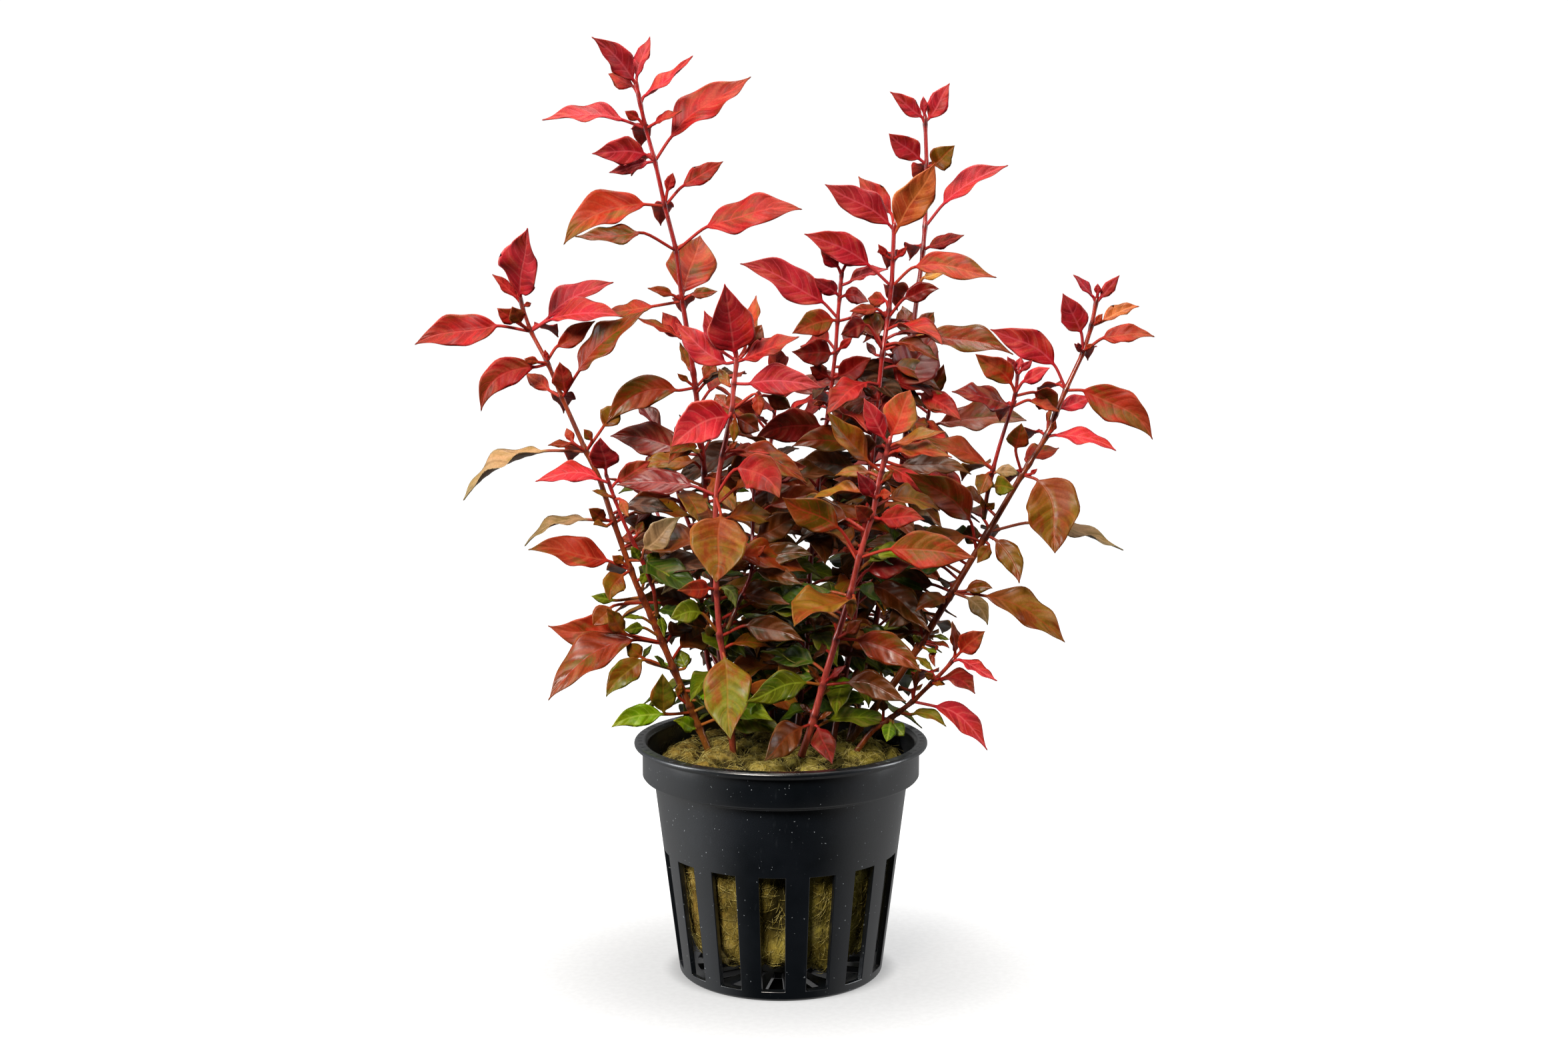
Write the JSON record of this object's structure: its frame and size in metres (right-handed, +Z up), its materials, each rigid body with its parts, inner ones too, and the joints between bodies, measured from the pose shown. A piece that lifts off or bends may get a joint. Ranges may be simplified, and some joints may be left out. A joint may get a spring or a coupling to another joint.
{
  "type": "potted aquarium plant, ludwigia repens",
  "caption": "Bushy aquarium plant with leafy red and olive stems, rooted in a rockwool plug inside a black slotted net pot.",
  "frame": {"origin": "centre of the pot's base, on the surface that it stands on", "axes": "+Z up along the pot's axis, -Y towards the viewer of the picture, +X to that viewer's right"},
  "size_m": [0.133, 0.0921, 0.171],
  "materials": {
    "pot_plastic": "satin black moulded plastic",
    "rockwool": "wet olive and tan mineral wool fibre",
    "stem": "smooth red stem, brown and olive near the wool",
    "leaf_red": "glossy young leaf, crimson pink to orange red with light veins",
    "leaf_dark": "glossy dark red to brown leaf with a lighter midrib",
    "leaf_green": "satin olive to green leaf with a reddish midrib"
  },
  "bodies": {
    "root": {"back_far_left_stem": "stem", "back_far_right_stem": "stem", "back_left_stem": "stem", "back_middle_stem": "stem", "back_right_leaf_01": "leaf_dark", "back_right_stem": "stem", "front_branch_stem": "stem", "front_left_leaf_01": "leaf_red", "front_left_leaf_02": "leaf_red", "front_left_leaf_07": "leaf_red", "front_left_leaf_09": "leaf_red", "front_left_leaf_16": "leaf_red", "front_left_leaf_17": "leaf_dark", "front_left_leaf_18": "leaf_green", "front_left_leaf_23": "leaf_green", "front_left_stem": "stem", "front_right_leaf_13": "leaf_dark", "front_right_leaf_14": "leaf_red", "front_right_leaf_16": "leaf_green", "front_right_leaf_18": "leaf_dark", "front_right_leaf_20": "leaf_green", "front_right_stem": "stem", "left_inner_stem": "stem", "left_leaf_01": "leaf_red", "left_leaf_07": "leaf_red", "left_leaf_13": "leaf_red", "left_leaf_16": "leaf_green", "left_leaf_25": "leaf_red", "left_leaf_30": "leaf_red", "left_leaf_32": "leaf_dark", "left_stem": "stem", "low_right_stem": "stem", "middle_leaf_06": "leaf_red", "middle_leaf_14": "leaf_dark", "middle_stem": "stem", "net_pot": "pot_plastic", "right_branch_stem": "stem", "right_leaf_10": "leaf_red", "right_leaf_11": "leaf_red", "right_leaf_18": "leaf_green", "right_leaf_20": "leaf_green", "right_leaf_24": "leaf_dark", "right_leaf_25": "leaf_dark", "right_middle_leaf_01": "leaf_red", "right_middle_leaf_03": "leaf_red", "right_middle_leaf_06": "leaf_red", "right_middle_leaf_07": "leaf_red", "right_middle_leaf_13": "leaf_dark", "right_middle_leaf_15": "leaf_dark", "right_middle_stem": "stem", "right_stem": "stem", "rockwool": "rockwool", "tall_left_leaf_10": "leaf_red", "tall_left_leaf_11": "leaf_red", "tall_left_leaf_15": "leaf_red", "tall_left_leaf_16": "leaf_red", "tall_left_leaf_23": "leaf_dark", "tall_left_leaf_26": "leaf_dark", "tall_left_stem": "stem", "tall_right_stem": "stem"}
  },
  "joints": []
}
